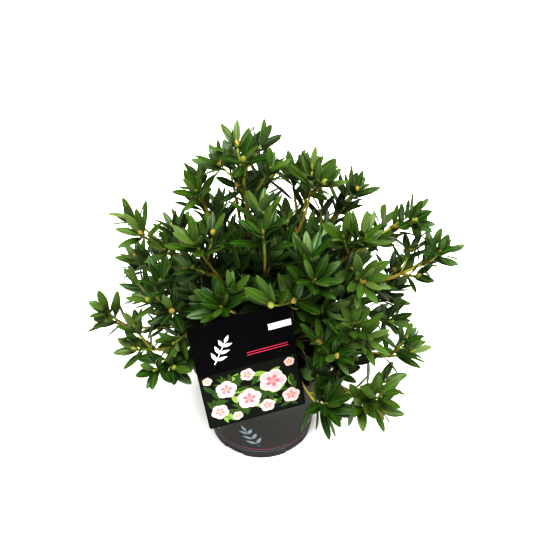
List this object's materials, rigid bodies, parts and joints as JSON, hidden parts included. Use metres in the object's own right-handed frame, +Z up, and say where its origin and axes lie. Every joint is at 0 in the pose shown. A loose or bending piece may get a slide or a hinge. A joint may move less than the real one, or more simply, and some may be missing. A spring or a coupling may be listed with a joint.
{
  "type": "potted rhododendron",
  "caption": "Young leafy rhododendron with plump round buds, in a tapered round nursery pot filled with soil, with a large picture label card clipped to the rim.",
  "frame": {"origin": "centre of the pot's flat underside", "axes": "+Z up along the pot's axis, -Y to the front, where the label card hangs, +X to the right seen from the front"},
  "size_m": [0.4318, 0.3265, 0.4375],
  "materials": {
    "pot": "satin moulded plastic, dark grey",
    "soil": "moist peat compost, crumbly",
    "card": "printed plastic card, satin",
    "bark": "rough bark",
    "foliage": "leathery leaf with a soft gloss"
  },
  "bodies": {
    "root": {"pot": "pot", "soil": "soil", "label_card": "card", "trunk": "bark", "bough_top": "bark", "bough_far_right": "bark", "bough_right_low": "bark", "bough_front_right": "bark", "bough_front_left_low": "bark", "bough_left_front": "bark", "bough_left_upper": "bark", "bough_back_left": "bark", "bough_back": "bark", "bough_back_right": "bark", "bough_right_top": "bark", "bough_right_front": "bark", "bough_front": "bark", "bough_front_left": "bark", "bough_left_top": "bark", "bough_back_top_left": "bark", "bough_back_top_right": "bark", "bough_left": "bark", "bough_left_low": "bark", "bough_low_right": "bark", "bough_low_front_right": "bark", "bough_front_low": "bark", "bough_right_back_low": "bark", "bough_back_low_right": "bark", "bough_back_low": "bark", "bough_back_low_left": "bark", "bough_right_upper": "bark", "leaves_top": "foliage", "leaves_far_right": "foliage", "leaves_right_low": "foliage", "leaves_front_right": "foliage", "leaves_front_left_low": "foliage", "leaves_left_front": "foliage", "leaves_left_upper": "foliage", "leaves_back_left": "foliage", "leaves_back": "foliage", "leaves_back_right": "foliage", "leaves_right_top": "foliage", "leaves_right_front": "foliage", "leaves_front": "foliage", "leaves_front_left": "foliage", "leaves_left_top": "foliage", "leaves_back_top_left": "foliage", "leaves_back_top_right": "foliage", "leaves_left": "foliage", "leaves_left_low": "foliage", "leaves_low_right": "foliage", "leaves_low_front_right": "foliage", "leaves_front_low": "foliage", "leaves_right_back_low": "foliage", "leaves_back_low_right": "foliage", "leaves_back_low": "foliage", "leaves_back_low_left": "foliage", "leaves_right_upper": "foliage"}
  },
  "joints": []
}
